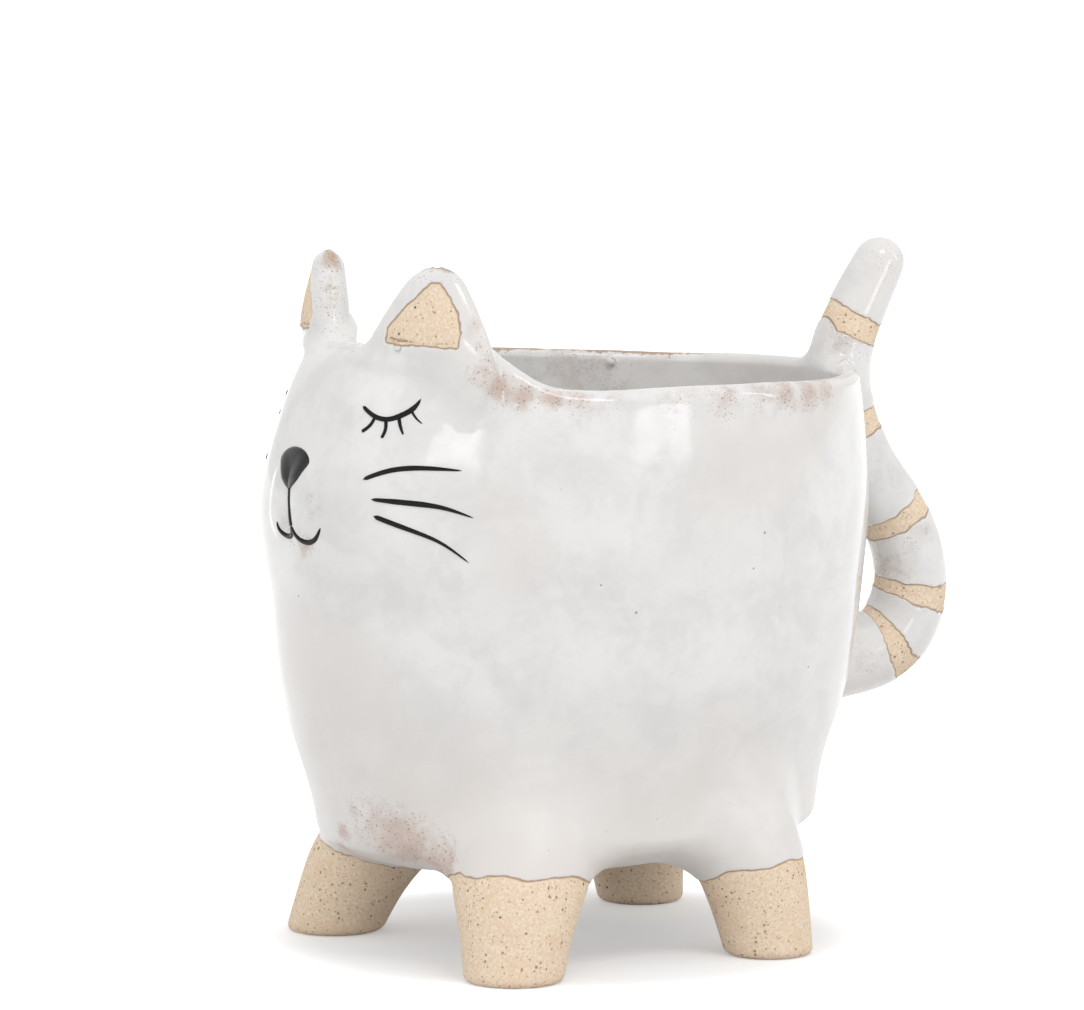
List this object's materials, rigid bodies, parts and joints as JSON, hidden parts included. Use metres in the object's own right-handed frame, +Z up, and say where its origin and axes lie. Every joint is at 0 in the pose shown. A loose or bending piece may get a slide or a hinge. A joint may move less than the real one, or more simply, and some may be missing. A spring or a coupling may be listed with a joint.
{
  "type": "animal shaped planter",
  "caption": "Oval ceramic planter shaped as a sleeping-faced cat, open at the top, with drain hole, splayed feet, upright ears and a curled banded tail.",
  "frame": {"origin": "on the surface that the planter stands on, under the middle of its bounding box", "axes": "+Z up, the cat faces -Y, its left side is +X, the tail is at +Y"},
  "size_m": [0.1142, 0.1799, 0.1653],
  "materials": {
    "glaze": "glossy off-white glaze with grey mottles and fine brown specks",
    "bare_clay": "matt unglazed sandy stoneware with dark specks",
    "black_enamel": "raised glossy black brushwork"
  },
  "bodies": {
    "root": {"pot_body": "glaze", "leg_front_left": "bare_clay", "leg_front_right": "bare_clay", "leg_rear_left": "bare_clay", "leg_rear_right": "bare_clay", "ear_left": "glaze", "ear_right": "glaze", "ear_panel_left": "bare_clay", "ear_panel_right": "bare_clay", "tail": "glaze", "tail_band_1": "bare_clay", "tail_band_2": "bare_clay", "tail_band_3": "bare_clay", "tail_band_4": "bare_clay", "tail_band_5": "bare_clay", "nose": "black_enamel", "mouth": "black_enamel", "eye_left": "black_enamel", "eye_right": "black_enamel", "whiskers_left": "black_enamel", "whiskers_right": "black_enamel"}
  },
  "joints": []
}
